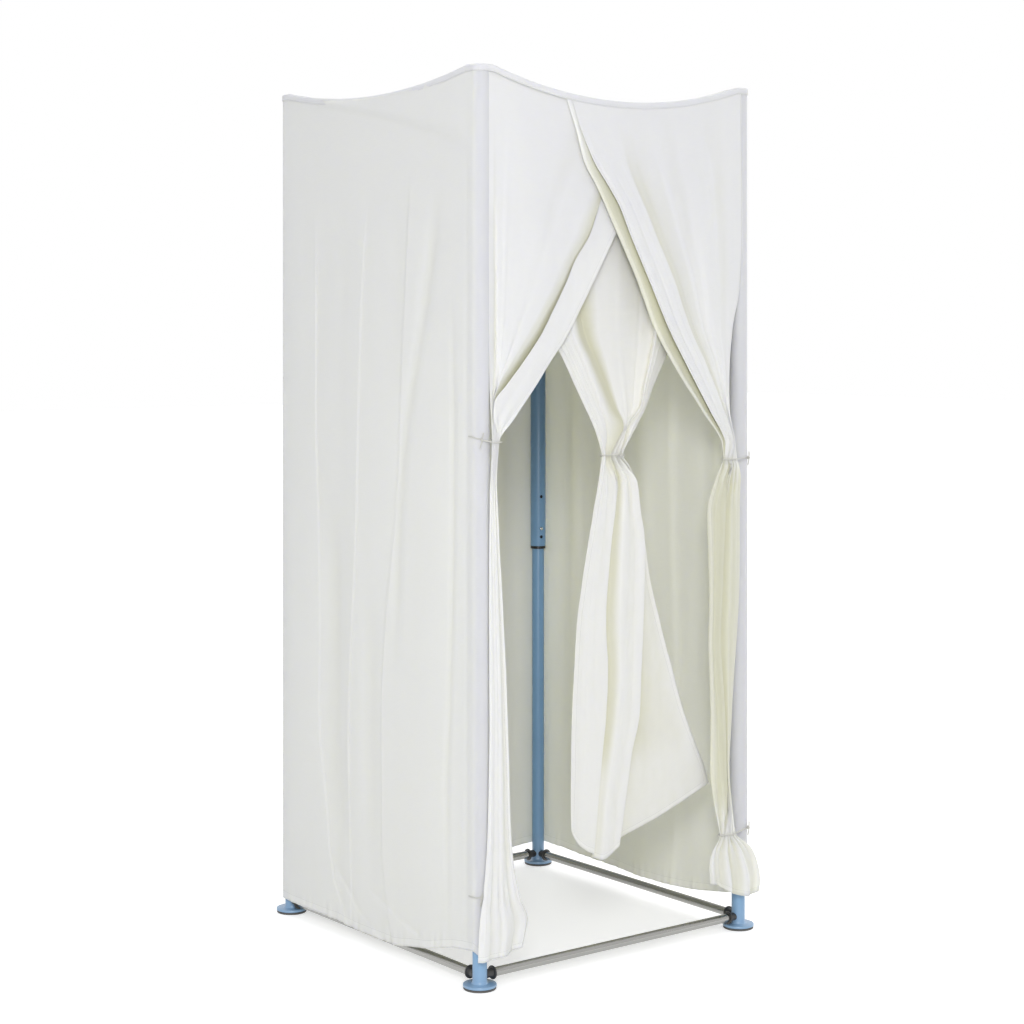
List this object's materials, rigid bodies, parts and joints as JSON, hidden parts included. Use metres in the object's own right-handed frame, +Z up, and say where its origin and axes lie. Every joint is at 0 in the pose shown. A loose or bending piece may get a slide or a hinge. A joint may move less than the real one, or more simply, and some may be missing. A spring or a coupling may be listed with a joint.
{
  "type": "portable fitting room",
  "caption": "Free-standing fabric changing cabin on telescopic posts with foot discs and base rods, a sagging roof, tied-back door flaps and an inner privacy curtain.",
  "frame": {"origin": "on the floor, under the middle of the cabin", "axes": "+Z up, -Y out of the doorway, +X to the right for someone who stands outside and looks in"},
  "size_m": [0.847, 0.86, 2],
  "materials": {
    "blue_paint": "smooth semi-gloss light blue paint",
    "black_plastic": "moulded black plastic",
    "black_rubber": "matt black rubber",
    "chrome": "bright chrome plate",
    "spring_steel": "bare spring strip",
    "cover_cloth": "thin white woven polyester",
    "curtain_cloth": "thin off-white woven polyester",
    "tie_cord": "thin twisted cotton cord"
  },
  "bodies": {
    "base_frame": {"front_left_foot_pad": "black_rubber", "front_left_lower_post": "blue_paint", "front_left_guide_bush": "black_plastic", "front_left_button_spring": "spring_steel", "front_left_rod_end_a": "black_plastic", "front_left_rod_end_b": "black_plastic", "front_right_foot_pad": "black_rubber", "front_right_lower_post": "blue_paint", "front_right_guide_bush": "black_plastic", "front_right_button_spring": "spring_steel", "front_right_rod_end_a": "black_plastic", "front_right_rod_end_b": "black_plastic", "back_right_foot_pad": "black_rubber", "back_right_lower_post": "blue_paint", "back_right_guide_bush": "black_plastic", "back_right_button_spring": "spring_steel", "back_right_rod_end_a": "black_plastic", "back_right_rod_end_b": "black_plastic", "back_left_foot_pad": "black_rubber", "back_left_lower_post": "blue_paint", "back_left_guide_bush": "black_plastic", "back_left_button_spring": "spring_steel", "back_left_rod_end_a": "black_plastic", "back_left_rod_end_b": "black_plastic", "front_rod": "chrome", "right_rod": "chrome", "back_rod": "chrome", "left_rod": "chrome", "left_door_flap_skirt": "curtain_cloth", "right_door_flap_skirt": "curtain_cloth", "left_lower_tie": "tie_cord", "right_lower_tie": "tie_cord"},
    "upper_frame": {"front_left_upper_post": "blue_paint", "front_left_collar": "black_plastic", "front_left_top_cap": "black_plastic", "front_right_upper_post": "blue_paint", "front_right_collar": "black_plastic", "front_right_top_cap": "black_plastic", "back_right_upper_post": "blue_paint", "back_right_collar": "black_plastic", "back_right_top_cap": "black_plastic", "back_left_upper_post": "blue_paint", "back_left_collar": "black_plastic", "back_left_top_cap": "black_plastic", "roof": "cover_cloth", "left_wall": "cover_cloth", "back_wall": "cover_cloth", "right_wall": "cover_cloth", "left_door_flap": "curtain_cloth", "right_door_flap": "curtain_cloth", "left_door_flap_tail": "curtain_cloth", "right_door_flap_tail": "curtain_cloth", "inner_curtain": "curtain_cloth", "left_upper_tie": "tie_cord", "right_upper_tie": "tie_cord", "curtain_tie": "tie_cord"},
    "front_left_button": {"front_left_snap_button": "chrome"},
    "front_right_button": {"front_right_snap_button": "chrome"},
    "back_right_button": {"back_right_snap_button": "chrome"},
    "back_left_button": {"back_left_snap_button": "chrome"}
  },
  "joints": [
    {"name": "height_slide", "type": "slide", "parent": "base_frame", "child": "upper_frame", "axis": [0, 0, 1], "range_m": [-0.085, 0.022], "deforming": ["left_wall", "back_wall", "right_wall", "left_door_flap_tail", "right_door_flap_tail", "front_left_snap_button", "front_right_snap_button", "back_right_snap_button", "back_left_snap_button"]},
    {"name": "front_left_button_press", "type": "slide", "parent": "base_frame", "child": "front_left_button", "axis": [-0.2079, -0.9781, 0], "range_m": [0, 0.0048], "stiffness_N_per_m": 2500, "springref_m": -0.002, "deforming": ["front_left_button_spring"]},
    {"name": "front_right_button_press", "type": "slide", "parent": "base_frame", "child": "front_right_button", "axis": [0.9781, -0.2079, 0], "range_m": [0, 0.0048], "stiffness_N_per_m": 2500, "springref_m": -0.002, "deforming": ["front_right_button_spring"]},
    {"name": "back_right_button_press", "type": "slide", "parent": "base_frame", "child": "back_right_button", "axis": [0.2079, 0.9781, 0], "range_m": [0, 0.0048], "stiffness_N_per_m": 2500, "springref_m": -0.002, "deforming": ["back_right_button_spring"]},
    {"name": "back_left_button_press", "type": "slide", "parent": "base_frame", "child": "back_left_button", "axis": [-0.9781, 0.2079, 0], "range_m": [0, 0.0048], "stiffness_N_per_m": 2500, "springref_m": -0.002, "deforming": ["back_left_button_spring"]}
  ]
}
